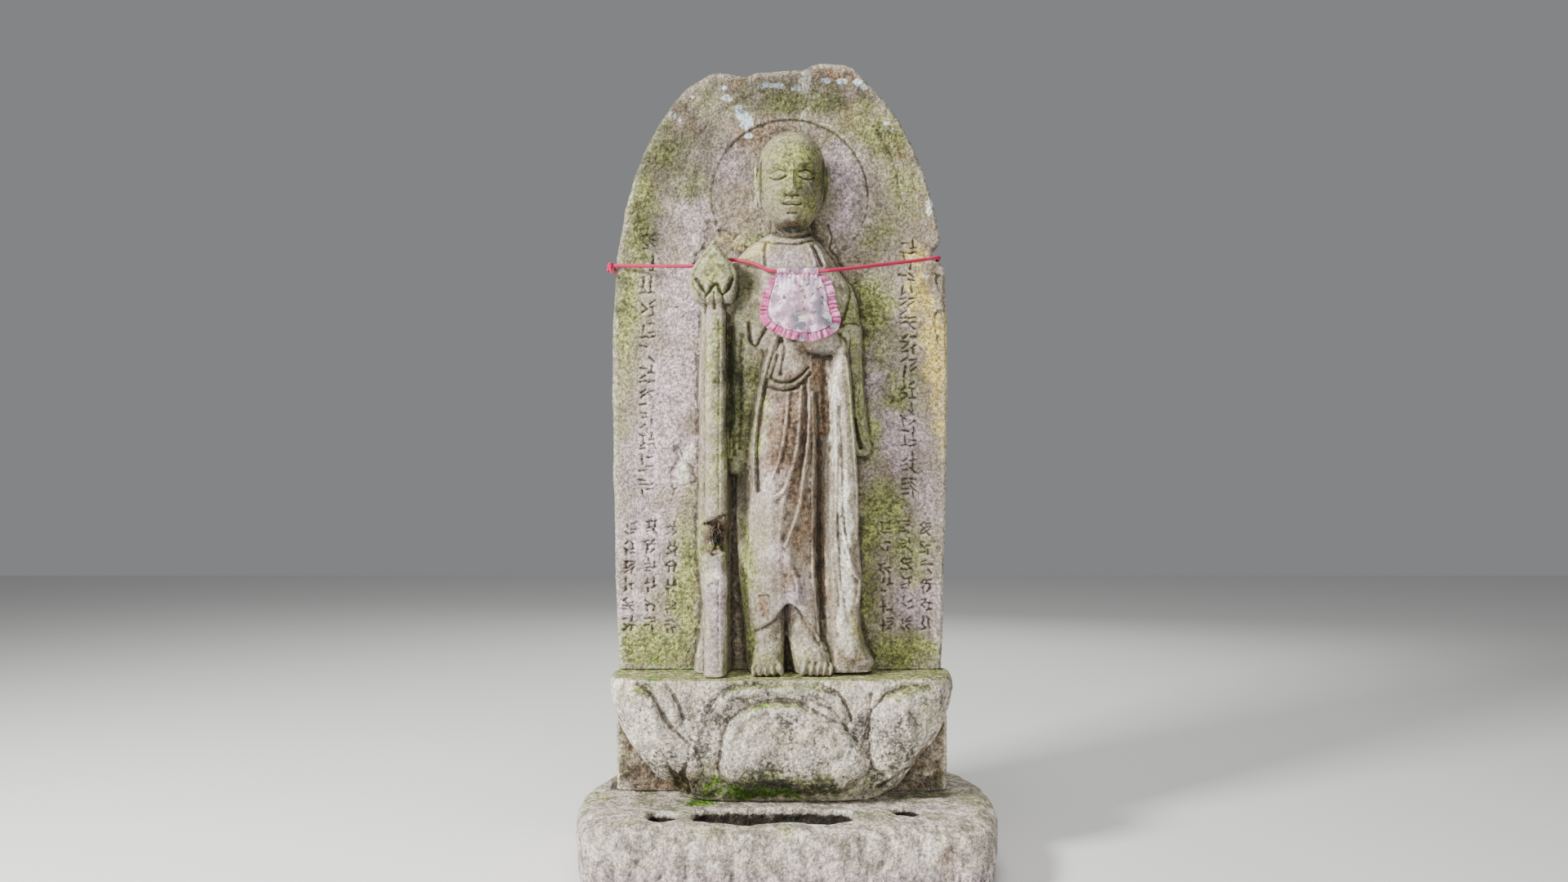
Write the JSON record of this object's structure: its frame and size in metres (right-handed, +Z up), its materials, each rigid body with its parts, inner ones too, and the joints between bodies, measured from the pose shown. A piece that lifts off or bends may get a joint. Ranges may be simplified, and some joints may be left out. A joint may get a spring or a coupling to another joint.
{
  "type": "stone jizo statue",
  "caption": "Jizo with a staff carved in high relief on a round-topped stone, on a lotus block and a base stone with a trough and flower holes, with a cloth bib on a cord.",
  "frame": {"origin": "on the ground, under the middle of the base stone's box", "axes": "+Z up, +X to the viewer's right, the figure faces -Y"},
  "size_m": [0.7, 0.42, 1.3906],
  "materials": {
    "grey_stone": "matte",
    "basin_stone": "matte",
    "bib_cotton": "matte",
    "red_cord": "matte"
  },
  "bodies": {
    "root": {"base_stone": "basin_stone", "lotus_block": "grey_stone", "stele": "grey_stone", "bib": "bib_cotton", "bib_cord": "red_cord", "cord_knot": "red_cord"}
  },
  "joints": []
}
